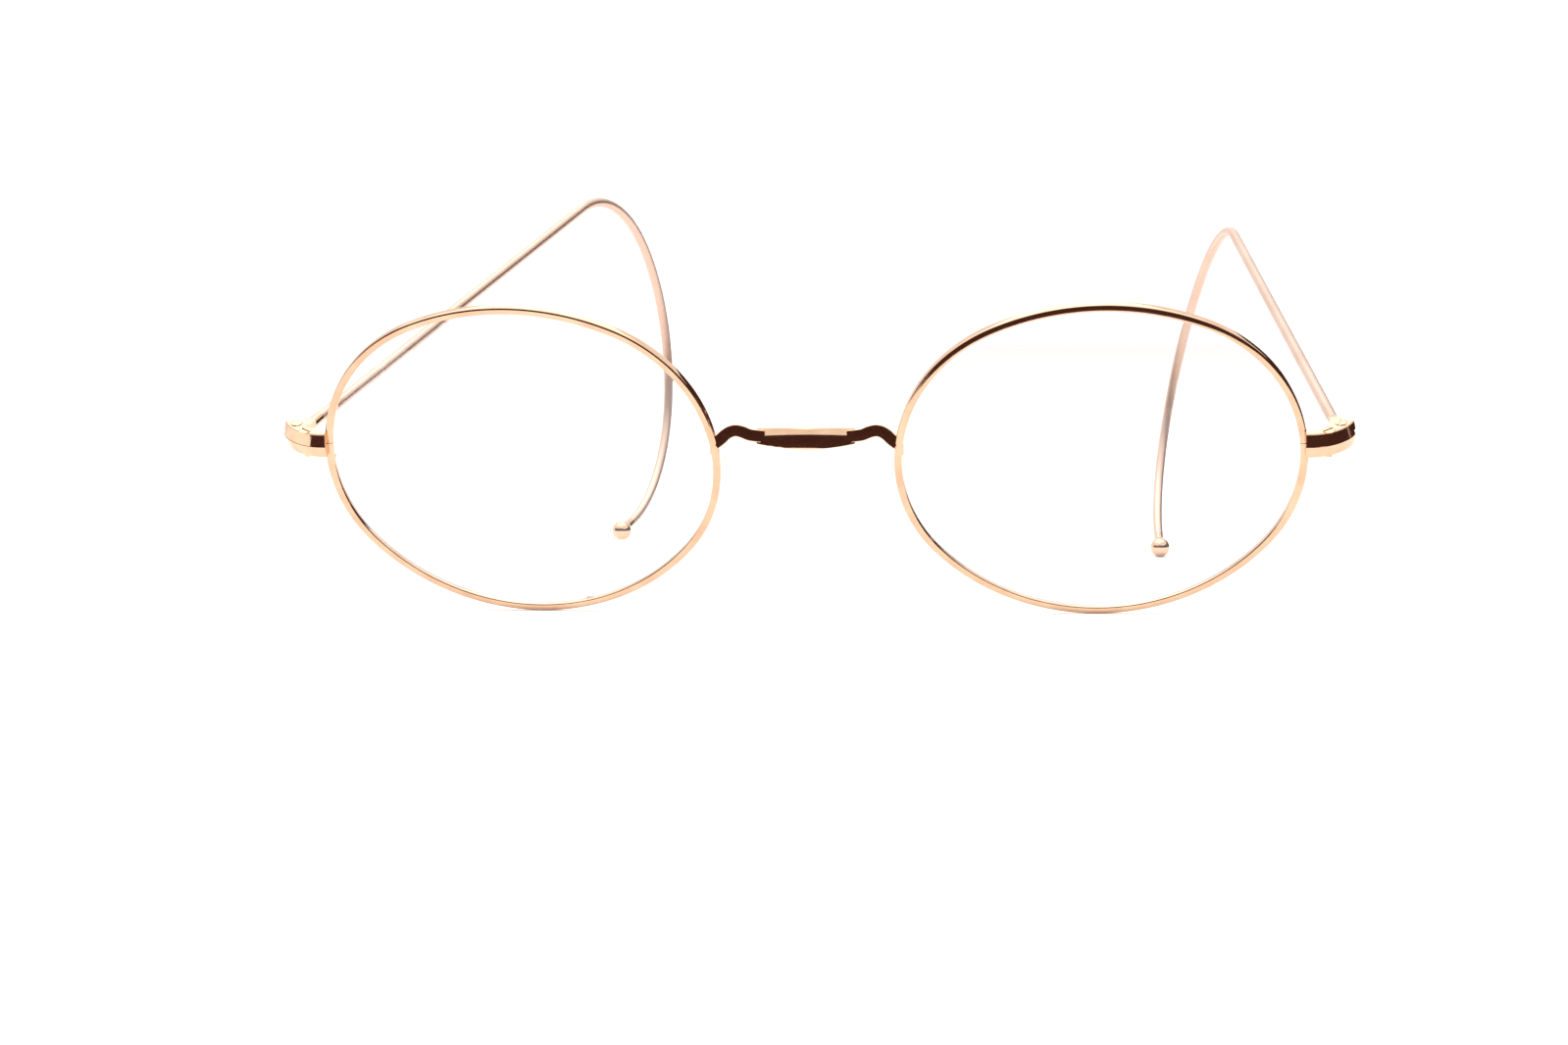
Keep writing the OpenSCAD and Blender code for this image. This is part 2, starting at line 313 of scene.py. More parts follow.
# %% [markdown]
# ## Turned screw metal
# Screws are turned on a lathe and plated with the rest, so their heads keep fine rings
# and are a little duller.

# %% Screw metal
turned, tree, shader = new_material("screw_metal_turned")
# turning marks are 0.03 mm apart, drawn 0.1 mm apart so that they show
marks = noise(tree, 0.1, 3.0)
as_metal(tree, shader, tint(tree, marks, "#DDB08A", "#F0CBA8"), gloss(tree, marks, 0.1, 0.22),
         marks, strength=0.12, depth=0.01)
print("made", turned.name)

# %% [markdown]
# ## Clear lens
# A lens is crown glass or clear resin with no tint. The eye sees only what is behind it and a faint gloss.

# %% Clear lens
clear, tree, shader = new_material("lens_clear_resin")
shader.inputs["Base Color"].default_value = srgb("#FEFEFE")
shader.inputs["Transmission Weight"].default_value = 1.0
shader.inputs["IOR"].default_value = 1.5
# faint wiping smears, about 6 mm across
tree.links.new(gloss(tree, noise(tree, 6, 2.0), 0.0, 0.012), shader.inputs["Roughness"])
# the metal's own reflections pass through unbent, so the gold shows the room and not a blur
path = add_node(tree, "ShaderNodeLightPath")
seen = add_node(tree, "ShaderNodeMath", operation="MAXIMUM",
                links={0: path.outputs["Is Camera Ray"], 1: path.outputs["Is Transmission Ray"]})
through = add_node(tree, "ShaderNodeBsdfTransparent")
mix = add_node(tree, "ShaderNodeMixShader",
               links={0: seen.outputs["Value"], 1: through.outputs["BSDF"], 2: shader.outputs["BSDF"]})
tree.links.new(mix.outputs["Shader"], tree.nodes["Material Output"].inputs["Surface"])
print("made", clear.name)

# %% [markdown]
# ## The rims
# A rim is one length of eye-wire, rolled with a round-edged outside and a V groove inside,
# and bent to an oval.
# The oval is six arcs that meet smoothly, so its section is spun about six centres, one after another.
# That gives an even wire with no flat spots, which a polished surface would show at once.

# %% The oval's arcs
RIM_W, RIM_UP, RIM_LOW = 48.0, 20.2, 20.6
SIDE_R_UP, SIDE_R_LOW = 19.2, 17.8
RIM_T, RIM_D, RIM_ROUND, GROOVE = 0.92, 1.2, 0.27, 0.2
LENS_X, FACE_FORM = 34.2, math.radians(3)


def half_arcs(height, side_r):
    """Three arcs over half the oval: centre x, centre z, radius and sweep."""
    side = RIM_W / 2 - side_r
    crown = (side**2 + height**2 - side_r**2) / (2 * (height - side_r))
    turn = math.atan2(crown - height, side)
    return [(side, 0, turn), (0, height - crown, math.pi - 2 * turn), (-side, 0, turn)]


upper = half_arcs(RIM_UP, SIDE_R_UP)
lower = [(-x, -z, sweep) for x, z, sweep in half_arcs(RIM_LOW, SIDE_R_LOW)]
ARCS = upper + lower
print("arcs turn", round(math.degrees(sum(a[2] for a in ARCS)), 3), "degrees in all")

# %% [markdown]
# The section is a small rectangle with rounded corners.
# The middle of its inner edge is drawn back for the groove.

# %% Spin the rim wire


def spin_oval():
    """Spins the selection about the oval's six centres in turn, a degree at a time, and closes the ring."""
    for x, z, sweep in ARCS:
        steps = max(4, round(math.degrees(sweep)))
        bpy.ops.mesh.spin(steps=steps, angle=sweep, center=(x, 0, z), axis=(0, 1, 0))
    bpy.ops.mesh.select_all(action="SELECT")
    bpy.ops.mesh.remove_doubles(threshold=0.002)


def rim_section():
    """The wire's outline where the oval begins: rounded all round, with a groove inside."""
    clear_selection()
    middle = (RIM_W / 2 - RIM_T / 2, 0, 0)
    bpy.ops.mesh.primitive_plane_add(size=1, location=middle)
    piece = open_all()
    bpy.ops.transform.resize(value=(RIM_T, RIM_D, 1), center_override=middle)
    bpy.ops.mesh.bevel(offset=RIM_ROUND, segments=8, affect="VERTICES")
    inside = RIM_W / 2 - RIM_T
    mesh = bmesh.from_edit_mesh(piece.data)
    bpy.ops.mesh.select_mode(type="EDGE")
    bpy.ops.mesh.select_all(action="DESELECT")
    for edge in mesh.edges:
        edge.select_set(all(abs(v.co.x - inside) < 1e-4 for v in edge.verts))
    bmesh.update_edit_mesh(piece.data)
    bpy.ops.mesh.subdivide(number_cuts=3)
    select_verts(piece, lambda co: abs(co.x - inside) < 1e-4 and abs(co.y) < 1e-4)
    bpy.ops.transform.translate(value=(GROOVE, 0, 0))
    bpy.ops.mesh.select_all(action="SELECT")
    bpy.ops.mesh.delete(type="ONLY_FACE")
    bpy.ops.mesh.select_all(action="SELECT")
    return piece


rim = rim_section()
spin_oval()
bpy.ops.object.mode_set(mode="OBJECT")
print("rim box", [round(v, 2) for v in rim.dimensions])

# %% [markdown]
# The rim is cut through between the two halves of the endpiece, so that the screw can close it
# round the lens.

# %% Cut and place the rims
SAW_T = 0.06
combine(rim, "DIFFERENCE", box((RIM_W / 2, 0, HINGE.z), (3, 3, SAW_T)))
AT_LENS = Matrix.Translation((LENS_X, 0, 0)) @ Matrix.Rotation(FACE_FORM, 4, "Z")
for side in SIDES:
    settle(copy_of(rim), f"rim_wire_{side}", "front", [f"rim_{side}"], polished,
           WORN @ FLIP[side] @ AT_LENS, smooth=50)
bpy.data.objects.remove(rim)

# %% [markdown]
# ## The lenses
# A lens is a shallow dish, cut to the oval. The dish is the cap of a very large ball with even thickness.
# The oval that cuts it is drawn the same way as the rim, so the lens meets the rim's inner face all round.

# %% Grind the lenses
LENS_R, LENS_T, LENS_INSET = 180.0, 1.5, RIM_T - 0.02
CAP_ANGLE, BULGE, BLOCK_D = math.radians(9.5), 0.75, 6.0


def oval_block():
    """The oval as a thick block, spun from one point and filled."""
    piece = start_at(RIM_W / 2 - LENS_INSET, 0, 0)
    spin_oval()
    bpy.ops.mesh.edge_face_add()
    bpy.ops.transform.translate(value=(0, -BLOCK_D / 2, 0))
    push(0, BLOCK_D, 0)
    close()
    return piece


clear_selection()
bpy.ops.mesh.primitive_uv_sphere_add(segments=96, ring_count=180, radius=LENS_R, rotation=(math.pi / 2, 0, 0))
dish = open_all()
select_verts(dish, lambda co: co.y > -LENS_R * math.cos(CAP_ANGLE))
bpy.ops.mesh.delete(type="VERT")
bpy.ops.mesh.select_all(action="SELECT")
# half of the dish's depth at the rim lies in front of the groove
bpy.ops.transform.translate(value=(0, LENS_R - LENS_T / 2 - BULGE, 0))
bpy.ops.object.mode_set(mode="OBJECT")
modifier(dish, "SOLIDIFY", thickness=LENS_T, offset=-1)
combine(dish, "INTERSECT", oval_block())
for side in SIDES:
    lens = settle(copy_of(dish), f"lens_ground_{side}", "front", [f"lens_{side}"], clear,
                  WORN @ FLIP[side] @ AT_LENS, smooth=30)
    lens.visible_shadow = False
bpy.data.objects.remove(dish)

# %% [markdown]
# ## The temples
# Each temple is one drawn wire: straight from the hinge, then three arcs of its own that curl round the ear.
# The ring at its start is pushed along the straight part and then spun about each arc's centre.
# The two temples are bent a little differently, as hand-bent wire is.

# %% Sizes of the temples
WIRE_D, JOINT_LEN, BALL_D = 1.32, 5.6, 2.8
STRAIGHT = {"left": 89.1, "right": 94.7}
CURL = {"left": ((21, 65), (26.5, 51), (22.5, 66.5)), "right": ((21, 65), (26.5, 51), (22.5, 52.5))}
DROOP, TWIST, FOLD = {"left": 5.9, "right": 10.3}, {"left": 8, "right": 14}, {"left": 13.2, "right": 6.5}


def hang(side):
    """How a temple turns away from straight back: folded in, sloping down and twisted."""
    turn = Matrix.Rotation(math.radians(FOLD[side]), 4, "Z")
    turn = turn @ Matrix.Rotation(math.radians(-DROOP[side]), 4, "X")
    return turn @ Matrix.Rotation(math.radians(TWIST[side]), 4, "Y")


def temple_matrix(side):
    """From a temple that runs straight back from its hinge to its place on the worn glasses."""
    return WORN @ FLIP[side] @ Matrix.Translation(HINGE) @ hang(side)


def curl_centres(side):
    """The centre and angle of each arc, and the place and direction where the wire ends."""
    at, heading, found = Vector((0, STRAIGHT[side], 0)), 0.0, []
    for radius, degrees in CURL[side]:
        down = Vector((0, -math.sin(heading), -math.cos(heading)))
        centre = at + down * radius
        turn = math.radians(degrees)
        found.append((centre, turn))
        at = centre + Matrix.Rotation(-turn, 3, "X") @ (at - centre)
        heading += turn
    return found, at, heading


for side in SIDES:
    curl_length = sum(radius * math.radians(degrees) for radius, degrees in CURL[side])
    print(f"{side} temple: straight {STRAIGHT[side]} mm, curl {curl_length:.1f} mm")

# %% [markdown]
# A filled ring of the wire's thickness starts where the joint's socket ends.

# %% Bend the temple wires
BEND_STEP = 2.5
for side in SIDES:
    wire = disc(80, WIRE_D / 2, (0, JOINT_LEN, 0), quarter_turn=True)
    push(0, STRAIGHT[side] - JOINT_LEN, 0)
    for centre, turn in curl_centres(side)[0]:
        steps = round(math.degrees(turn) / BEND_STEP)
        bpy.ops.mesh.spin(steps=steps, angle=turn, center=centre, axis=(1, 0, 0))
    close(merge=0.002)
    settle(wire, f"temple_wire_bent_{side}", f"{side}_temple", [f"temple_wire_{side}"], satin,
           temple_matrix(side))

# %% [markdown]
# ## The tips
# A ball is brazed to the end of each wire, so that it is kind to the ear, and the wire swells into it.
# The ball is a sphere whose top is opened and drawn out into the neck.

# %% Balls and necks
NECK_LEN, BALL_R = 2.4, BALL_D / 2
# the neck's rings: height over the ball's opening, and radius
NECK = ((0.35, 0.8), (0.9, 0.74), (1.6, 0.7), (NECK_LEN, WIRE_D / 2 + 0.02))
# the opening, in shares of the ball's radius: what is cut off, the ring that stays, and where the neck starts
CUT_OFF, LAST_RING, NECK_START = 0.82, 0.74, 0.75
for side in SIDES:
    clear_selection()
    bpy.ops.mesh.primitive_uv_sphere_add(segments=40, ring_count=28, radius=BALL_R)
    tip = open_all()
    select_verts(tip, lambda co: co.z > BALL_R * CUT_OFF)
    bpy.ops.mesh.delete(type="VERT")
    select_verts(tip, lambda co: co.z > BALL_R * LAST_RING)
    ring_r, ring_z = max((Vector((v.co.x, v.co.y)).length, v.co.z)
                         for v in bmesh.from_edit_mesh(tip.data).verts if v.select)
    height = BALL_R * NECK_START
    push_rings([(height + up, radius) for up, radius in NECK], ring_z, ring_r, axis=2)
    bpy.ops.mesh.edge_face_add()
    bpy.ops.object.mode_set(mode="OBJECT")
    end, heading = curl_centres(side)[1:]
    along_wire = Matrix.Translation(end) @ Matrix.Rotation(-heading, 4, "X")
    along_wire = along_wire @ Matrix.Rotation(math.pi / 2, 4, "X")
    settle(tip, f"ball_tip_{side}", f"{side}_temple", [f"tip_{side}"], polished,
           temple_matrix(side) @ along_wire @ Matrix.Translation((0, 0, -NECK_LEN - height)), smooth=60)

# %% [markdown]
# ## The bridge
# A saddle bridge is one bar, forged flat in the middle to lie on the nose, and bent up and down at both ends
# so that it can be set to a face. Its middle leans back and is rounded both ways.
# The rounding both ways comes from spinning a rounded section about an axis far behind.

# %% Forge the saddle
PANEL_W, PANEL_H, PANEL_DROP, PANEL_TOP, PANEL_D = 11.6, 1.9, 0.75, 4.78, 1.2
PANEL_LEAN, BOW_R, BELLY_R, PROUD = math.radians(36), 25.0, 3.2, 0.15
ARM_H, ARM_D, ARM_LEAN, ARM_PIVOT_Z = 1.45, 0.9, math.radians(26), 3.0
tall = PANEL_H + PANEL_DROP
front_y = -PANEL_D / 2 - PROUD
start_at(0, front_y + PANEL_D, -tall / 2)
belly = math.asin(tall / 2 / BELLY_R)
edge_y = front_y + BELLY_R * (1 - math.cos(belly))
draw(0, edge_y - front_y - PANEL_D, 0)
bpy.ops.mesh.spin(steps=16, angle=2 * belly, center=(0, front_y + BELLY_R, 0), axis=(1, 0, 0))
draw(0, front_y + PANEL_D - edge_y, 0)
bpy.ops.mesh.select_all(action="SELECT")
bpy.ops.mesh.edge_face_add()
bow = math.asin(PANEL_W / 2 / BOW_R)
axis_y = front_y + BOW_R
bpy.ops.transform.rotate(value=bow, orient_axis="Z", center_override=(0, axis_y, 0))
bpy.ops.mesh.spin(steps=24, angle=2 * bow, center=(0, axis_y, 0), axis=(0, 0, -1))
close(merge=0.001)
saddle = bpy.context.object
print("saddle blank", [round(v, 2) for v in saddle.dimensions])
# a round mould gives the panel its bowed lower edge
sag_r = PANEL_W**2 / (8 * PANEL_DROP) + PANEL_DROP / 2
clear_selection()
bpy.ops.mesh.primitive_cylinder_add(vertices=360, radius=sag_r, depth=8, rotation=(math.pi / 2, 0, 0),
                                    location=(0, 0, sag_r - tall / 2))
combine(saddle, "INTERSECT", bpy.context.object)
ease_edges(saddle, 0.09)
only(saddle)
saddle.matrix_world = Matrix.Translation((0, 0, PANEL_TOP - tall / 2)) @ Matrix.Rotation(-PANEL_LEAN, 4, "X")
bpy.ops.object.transform_apply(location=True, rotation=True)

# %% [markdown]
# Each arm is a flat section pushed along a wave, a short step at a time, and turned to face each step.

# %% Bend the arms and join the bridge
# the arm's middle line, from the panel outwards: distance to the side, and height
WAVE = [(PANEL_W / 2 - 1, 3.65), (6.5, 3.83), (7.4, 4.17), (8.2, 4.35), (8.9, 4.2), (9.5, 3.83), (10, 3.35),
        (10.8, 2.74)]
STEPS = 4
FOOT_AT, FOOT_SIZE, FOOT_SLIDE = (10.95, 0.05, 2.35), (1.1, 1.0, 2.6), 0.75


def smooth_path(points, steps):
    """Points on a soft curve through the given ones."""
    padded = [points[0]] + points + [points[-1]]
    found = []
    for a, b, c, d in zip(padded, padded[1:], padded[2:], padded[3:]):
        for k in range(steps):
            t = k / steps
            found.append(tuple(0.5 * (2 * q + (r - p) * t + (2 * p - 5 * q + 4 * r - s) * t * t
                                      + (3 * q - p - 3 * r + s) * t**3) for p, q, r, s in zip(a, b, c, d)))
    return found + [points[-1]]


def bridge_arm():
    path = smooth_path(WAVE, STEPS)
    clear_selection()
    first = (path[0][0], 0, path[0][1])
    bpy.ops.mesh.primitive_plane_add(size=1, location=first, rotation=(0, math.pi / 2, 0))
    piece = open_all()
    bpy.ops.transform.resize(value=(1, ARM_D, ARM_H), center_override=first)
    slope = 0.0
    for k in range(1, len(path)):
        (x0, z0), (x1, z1) = path[k - 1], path[k]
        nxt = path[min(k + 1, len(path) - 1)]
        push(x1 - x0, 0, z1 - z0)
        wanted = math.atan2(nxt[1] - z0, nxt[0] - x0)
        swing(slope - wanted, "Y", (x1, 0, z1))
        slope = wanted
    close()
    ease_edges(piece, 0.1, over=50)
    only(piece)
    piece.matrix_world = (Matrix.Translation((0, 0, ARM_PIVOT_Z)) @ Matrix.Rotation(-ARM_LEAN, 4, "X")
                          @ Matrix.Translation((0, 0, -ARM_PIVOT_Z)))
    bpy.ops.object.transform_apply(location=True, rotation=True)
    return piece


def solder_foot():
    """The swell of solder where an arm meets the rim."""
    piece = box(FOOT_AT, FOOT_SIZE)
    open_all()
    select_verts(piece, lambda co: co.x < FOOT_AT[0] and co.z < FOOT_AT[2])
    bpy.ops.transform.translate(value=(FOOT_SLIDE, 0, 0))
    bpy.ops.object.mode_set(mode="OBJECT")
    modifier(piece, "SUBSURF", levels=3, render_levels=3)
    return piece


right_arm, right_foot = bridge_arm(), solder_foot()
left_arm, left_foot = copy_of(right_arm), copy_of(right_foot)
for piece in (left_arm, left_foot):
    only(piece)
    piece.scale = (-1, 1, 1)
    open_all()
    close()
combine(saddle, "UNION", right_arm, left_arm, right_foot, left_foot)
nasal_y = -(RIM_W / 2) * math.sin(FACE_FORM)
settle(saddle, "bridge_saddle", "front", ["bridge"], polished,
       WORN @ Matrix.Translation((0, nasal_y, 0)), smooth=35)

# %% [markdown]
# ## The endpieces
# Each endpiece is a small block soldered to the rim and split through the middle, so that its screw can close
# the rim. Seen from above, its front is one wide arc. Seen in section, a ridge runs along it between
# a leaning band above and a bevel below.

# %% Sizes of the endpieces
END_H, SPLIT = 3.0, SAW_T
FRONT_Y, WRAP_R, WRAP_X = -0.35, 6.1, LENS_X + RIM_W / 2
OUT_X, BOSS_ROUND = 63.7, 0.85
BOSS_BACK, BOSS_IN = HINGE.y + 0.85, HINGE.x - 1.35
SLOT_T, EYE_R, EYE_GAP, SLOT_LIP = 1.0, 1.26, 0.08, 0.9
BAND_LEAN, BEVEL_LEAN, RIDGE_Z, CREST_H, CREST_LEAN = 0.42, 0.35, -0.05, 0.12, 0.56
# the block reaches this far into the rim, and the plan starts a margin further in
WELD, MARGIN = 0.35, 0.5
PLAN_FRONT, SEAT_Y, SEAT_CORNER = -2.0, 1.15, 2.1
SCREW = Vector((HINGE.x - 1.45, HINGE.y - 1.95, HINGE.z))
INNER = WRAP_X - WELD
print(f"an endpiece is {OUT_X - INNER:.2f} mm wide and {END_H} mm tall, split by {SPLIT} mm")

# %% [markdown]
# The spun profile gives the front its shape, and the plan drawn from above gives the outline. What both share
# is the block. A slot is then cut for the temple's eye: round at the hinge, open to the back and the inside.

# %% Make the endpieces


def spun_front():
    """The block's front: a profile pushed straight and then spun a quarter turn about an upright axis."""
    h, mid_y = END_H / 2, FRONT_Y + WRAP_R
    profile = [(0, -h), (WRAP_R - BEVEL_LEAN, -h), (WRAP_R, RIDGE_Z), (WRAP_R - BAND_LEAN, h - CREST_H),
               (WRAP_R - CREST_LEAN, h), (0, h)]
    places = [Vector((INNER, mid_y - depth, z)) for depth, z in profile]
    piece = start_at(*places[0])
    for before, after in zip(places, places[1:]):
        line_to(after, before)
    bpy.ops.mesh.select_all(action="SELECT")
    bpy.ops.mesh.edge_face_add()
    push(WRAP_X - INNER, 0, 0)
    bpy.ops.mesh.spin(steps=36, angle=math.pi / 2, center=(WRAP_X, mid_y, 0), axis=(0, 0, -1))
    close(merge=0.001)
    return piece


def plan_block(z_low, z_high):
    """The outline seen from above, with a round boss behind the hinge, pushed up between two heights."""
    edge, shoulder, turn_in = INNER - MARGIN, BOSS_BACK - BOSS_ROUND, BOSS_IN + BOSS_ROUND
    stops = ((OUT_X, PLAN_FRONT), (OUT_X, shoulder), (turn_in, BOSS_BACK), (BOSS_IN, SEAT_CORNER),
             (WRAP_X, SEAT_Y), (edge, SEAT_Y))
    # where a rounded corner starts: its centre and its end
    corners = {(OUT_X, shoulder): ((OUT_X - BOSS_ROUND, shoulder), (OUT_X - BOSS_ROUND, BOSS_BACK)),
               (turn_in, BOSS_BACK): ((turn_in, shoulder), (BOSS_IN, shoulder))}
    at = (edge, PLAN_FRONT, z_low)
    piece = start_at(*at)
    for stop in stops:
        at = line_to((*stop, z_low), at)
        if stop in corners:
            centre, end = corners[stop]
            bpy.ops.mesh.spin(steps=8, angle=math.pi / 2, center=(*centre, z_low), axis=(0, 0, -1))
            at = (*end, z_low)
    bpy.ops.mesh.select_all(action="SELECT")
    bpy.ops.mesh.remove_doubles(threshold=0.001)
    bpy.ops.mesh.edge_face_add()
    push(0, 0, z_high - z_low)
    close(merge=0.001)
    return piece


def eye_slot():
    """The space in which the temple's eye turns. Two large boxes open it to the inside and to the back."""
    clear_selection()
    bpy.ops.mesh.primitive_cylinder_add(vertices=64, radius=EYE_R + EYE_GAP, depth=SLOT_T,
                                        location=(HINGE.x, HINGE.y, 0))
    piece = bpy.context.object
    inside = box((HINGE.x - 4, HINGE.y + 3 - SLOT_LIP, 0), (8, 6, SLOT_T))
    behind = box((HINGE.x + 2, HINGE.y + 3, 0), (6, 6, SLOT_T))
    combine(piece, "UNION", inside, behind)
    return piece


RISE = Matrix.Translation((0, 0, HINGE.z))
slot_cutter = eye_slot()
for level, z_low, z_high in (("upper", SPLIT / 2, END_H), ("lower", -END_H, -SPLIT / 2)):
    block = spun_front()
    combine(block, "INTERSECT", plan_block(z_low, z_high))
    combine(block, "DIFFERENCE", copy_of(slot_cutter))
    ease_edges(block, 0.05, segments=5, over=60)
    for side in SIDES:
        settle(copy_of(block), f"endblock_{level}_{side}", "front", [f"endpiece_{level}_{side}"],
               polished, WORN @ FLIP[side] @ RISE, smooth=20)
    bpy.data.objects.remove(block)
bpy.data.objects.remove(slot_cutter)

# %% [markdown]
# ## Screws
# All four screws are turned alike: a low domed head with a sawn slot, and a plain shank for the thread.

# %% Turn the screws
HEAD_R, HEAD_H, DOME = 0.74, 0.14, 0.22
SLOT_W, SLOT_D, CHAMFER = 0.26, 0.1, 0.08
# each kind's place, the shank's radius, how far the shank sticks out below, and the slot's angle in degrees
SCREWS = (("hinge", HINGE, 0.5, 0.1, 70), ("rim", SCREW, 0.45, 0.35, 35))


def turned_screw(shank_r, stick_out):
    """Drawn from the shank's end upwards: each ring of faces is pushed up and resized."""
    foot, top = -END_H / 2 - stick_out, END_H / 2 + 0.01
    piece = disc(40, shank_r - CHAMFER, (0, 0, foot))
    rings = ((foot + CHAMFER, shank_r), (top, shank_r), (top, HEAD_R), (top + HEAD_H * 0.4, HEAD_R),
             (top + HEAD_H * 0.85, HEAD_R - CHAMFER), (top + HEAD_H, HEAD_R - DOME))
    push_rings(rings, foot, shank_r - CHAMFER, axis=2)
    close()
    combine(piece, "DIFFERENCE", box((0, 0, top + HEAD_H - SLOT_D + 0.5), (4, SLOT_W, 1)))
    return piece


for kind, spot, shank_r, stick_out, slot_angle in SCREWS:
    screw = turned_screw(shank_r, stick_out)
    standing = Matrix.Translation(spot) @ Matrix.Rotation(math.radians(slot_angle), 4, "Z")
    for side in SIDES:
        settle(copy_of(screw), f"{kind}_screw_turned_{side}", "front", [f"{kind}_screw_{side}"],
               turned, WORN @ FLIP[side] @ standing, smooth=35)
    bpy.data.objects.remove(screw)

# %% [markdown]
# ## The temple joints
# A flat eye turns on the hinge screw. Its tail is brazed to a short tapered socket that holds the wire.

# %% Make the joints
BARREL_R, BARREL_START, STRIP_W = 0.7, 2.4, 1.4
EYE_T = SLOT_T - 0.04
# the socket's rings: place along the temple, and radius
SOCKET = ((BARREL_START, BARREL_R * 0.8), (BARREL_START + 0.5, BARREL_R * 0.94), (BARREL_START + 1, BARREL_R),
          (JOINT_LEN - 0.8, BARREL_R), (JOINT_LEN - 0.2, BARREL_R - 0.02), (JOINT_LEN, WIRE_D / 2 + 0.005))
for side in SIDES:
    clear_selection()
    bpy.ops.mesh.primitive_cylinder_add(vertices=64, radius=EYE_R, depth=EYE_T)
    eye = bpy.context.object
    tail_len = BARREL_START + 1
    combine(eye, "UNION", box((0, tail_len / 2, 0), (STRIP_W, tail_len, EYE_T)))
    only(eye)
    eye.matrix_world = Matrix.Rotation(math.radians(FOLD[side]), 4, "Z")
    bpy.ops.object.transform_apply(rotation=True)
    first_y, first_r = SOCKET[0]
    socket = disc(40, first_r, (0, first_y, 0), quarter_turn=True)
    push_rings(SOCKET[1:], first_y, first_r, axis=1)
    close()
    only(socket)
    socket.matrix_world = hang(side)
    bpy.ops.object.transform_apply(rotation=True)
    combine(eye, "UNION", socket)
    ease_edges(eye, 0.05, segments=2, over=45)
    settle(eye, f"joint_eye_{side}", f"{side}_temple", [f"temple_joint_{side}"], polished,
           WORN @ FLIP[side] @ Matrix.Translation(HINGE), smooth=35)

# %% [markdown]
# ## The table
# A sheet of white paper, matt, with a faint cloudy fibre.

# %% Table
TABLE_SIZE = 6
clear_selection()
bpy.ops.mesh.primitive_plane_add(size=TABLE_SIZE, location=(0, 0, 0))
table = bpy.context.object
table.name = "table"
paper, tree, shader = new_material("table_white_paper")
# the paper's fibre clouds are about 2 mm across
tree.links.new(tint(tree, noise(tree, 2, 3.0), "#F6F5F4", "#FBFAF9"), shader.inputs["Base Color"])
shader.inputs["Roughness"].default_value = 0.9
shader.inputs["Specular IOR Level"].default_value = 0.0
table.data.materials.append(paper)
print(f"made {table.name}, {TABLE_SIZE} m across")

# %% [markdown]
# ## Dark flags
# Polished metal shows the room, so the room is the light: white overhead and behind, with dark cards
# low down.
# Five flags give the wire its dark edges: one on the table before the glasses, one standing in front,
# one at each side and one behind to the right. They are seen only in reflections.

# %% Dark flags


def flag(name, corners):
    mesh = bpy.data.meshes.new(name)
    mesh.from_pydata(corners, [], [tuple(range(len(corners)))])
    card = bpy.data.objects.new(name, mesh)
    bpy.context.scene.collection.objects.link(card)
    card.data.materials.append(felt)
    card.visible_camera = card.visible_diffuse = card.visible_shadow = card.visible_transmission = False
    print("made", name)


def wall(name, *posts):
    """A card that stands on the table between two posts, each given as x, y and height, in metres."""
    (x0, y0, top0), (x1, y1, top1) = posts
    flag(name, [(x0, y0, 0), (x1, y1, 0), (x1, y1, top1), (x0, y0, top0)])


felt, tree, shader = new_material("flag_black_felt")
# the felt's nap clumps every 15 mm
tree.links.new(tint(tree, noise(tree, 15, 3.0), "#372420", "#412A25"), shader.inputs["Base Color"])
shader.inputs["Roughness"].default_value = 1.0
shader.inputs["Specular IOR Level"].default_value = 0.0
NEAR_LEFT, NEAR_RIGHT = (-0.7, -0.7, 0.42), (0.8, -0.7, 0.42)
FAR_LEFT, FAR_RIGHT, BACK_RIGHT = (-0.6, 0, 0.25), (0.6, 0.1, 0.3), (0.2, 0.45, 0.3)
FLAG_LIFT = 0.0005
flag("flag_table", [(x, y, FLAG_LIFT) for x, y in (
    (-0.11, -0.105), (0.0, -0.1), (0.006, -0.083), (0.09, -0.09), (0.12, 0.03), (0.5, 0.1), NEAR_RIGHT[:2],
    NEAR_LEFT[:2])])
wall("flag_front", NEAR_LEFT, NEAR_RIGHT)
wall("flag_left", NEAR_LEFT, FAR_LEFT)
wall("flag_right", NEAR_RIGHT, FAR_RIGHT)
wall("flag_back", BACK_RIGHT, FAR_RIGHT)

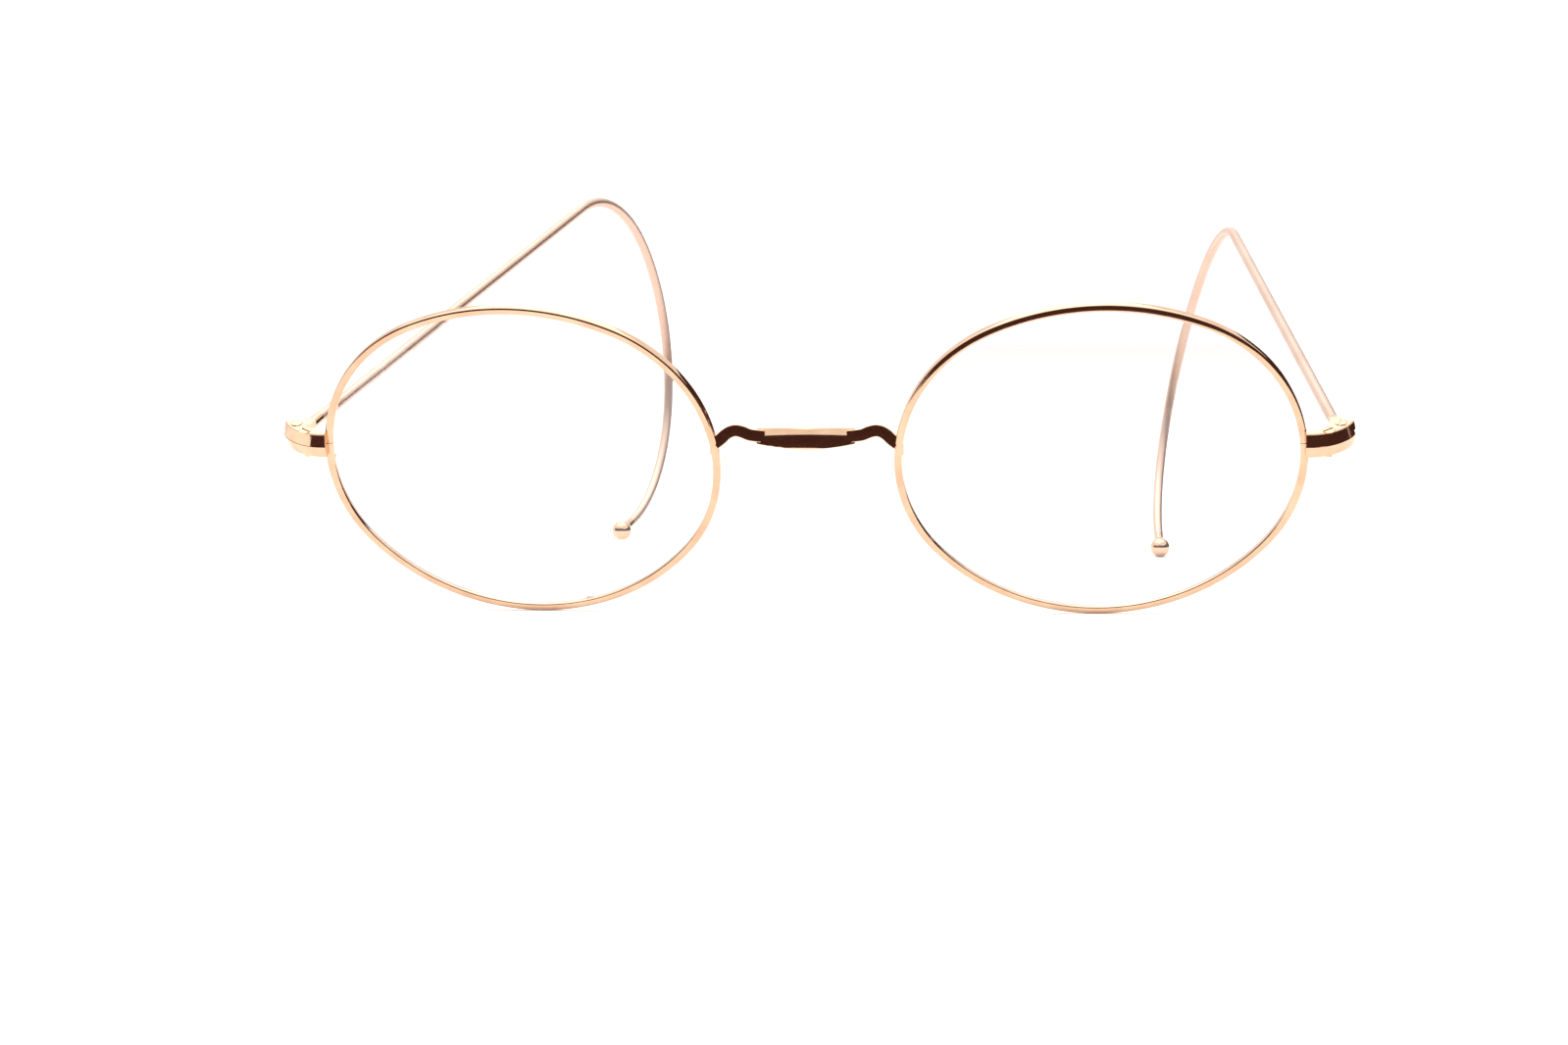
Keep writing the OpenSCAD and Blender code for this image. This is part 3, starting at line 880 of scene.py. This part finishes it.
# %% [markdown]
# ## Light
# A white tent lights everything evenly, and one large softbox overhead adds the bright line along the wire.

# %% Light
TENT_STRENGTH = 1.15
world = bpy.data.worlds.new("white_tent")
bpy.context.scene.world = world
world.use_nodes = True
world.node_tree.nodes["Background"].inputs["Color"].default_value = (1, 1, 1, 1)
world.node_tree.nodes["Background"].inputs["Strength"].default_value = TENT_STRENGTH


def softbox(name, size, watts, spot, aim):
    lamp = bpy.data.lights.new(name, "AREA")
    lamp.shape, lamp.size, lamp.energy = "SQUARE", size, watts
    holder = bpy.data.objects.new(name, lamp)
    holder.location = spot
    holder.rotation_euler = (Vector(aim) - Vector(spot)).to_track_quat("-Z", "Y").to_euler()
    bpy.context.scene.collection.objects.link(holder)
    print(f"made {name}, {size} m wide, {watts} W")


softbox("softbox_top", size=1.2, watts=6.0, spot=(-0.1, 0.1, 0.9), aim=(0, 0, 0))
bpy.context.scene.view_settings.view_transform = "Standard"

# %% [markdown]
# ## Camera
# A long lens, low over the table and a little to the right.

# %% Camera
CAMERA_AZIMUTH, CAMERA_ELEVATION, CAMERA_ROLL = math.radians(6.62), math.radians(3.58), math.radians(-0.25)
CAMERA_DISTANCE, CAMERA_LENS, SENSOR_W = 396 * MM, 76.42, 36
AIM = Vector((-3.34, -51.70, 11.10)) * MM
camera = bpy.data.objects.new("camera", bpy.data.cameras.new("camera"))
bpy.context.scene.collection.objects.link(camera)
camera.data.lens, camera.data.sensor_width = CAMERA_LENS, SENSOR_W
camera.data.clip_start = 0.01
back = Vector((math.sin(CAMERA_AZIMUTH) * math.cos(CAMERA_ELEVATION),
               -math.cos(CAMERA_AZIMUTH) * math.cos(CAMERA_ELEVATION), math.sin(CAMERA_ELEVATION)))
camera.location = AIM + back * CAMERA_DISTANCE
look = (-back).to_track_quat("-Z", "Y").to_matrix() @ Matrix.Rotation(CAMERA_ROLL, 3, "Z")
camera.rotation_euler = look.to_euler()
bpy.context.scene.camera = camera
print("camera at", [round(v, 4) for v in camera.location], "with a lens of", CAMERA_LENS, "mm")
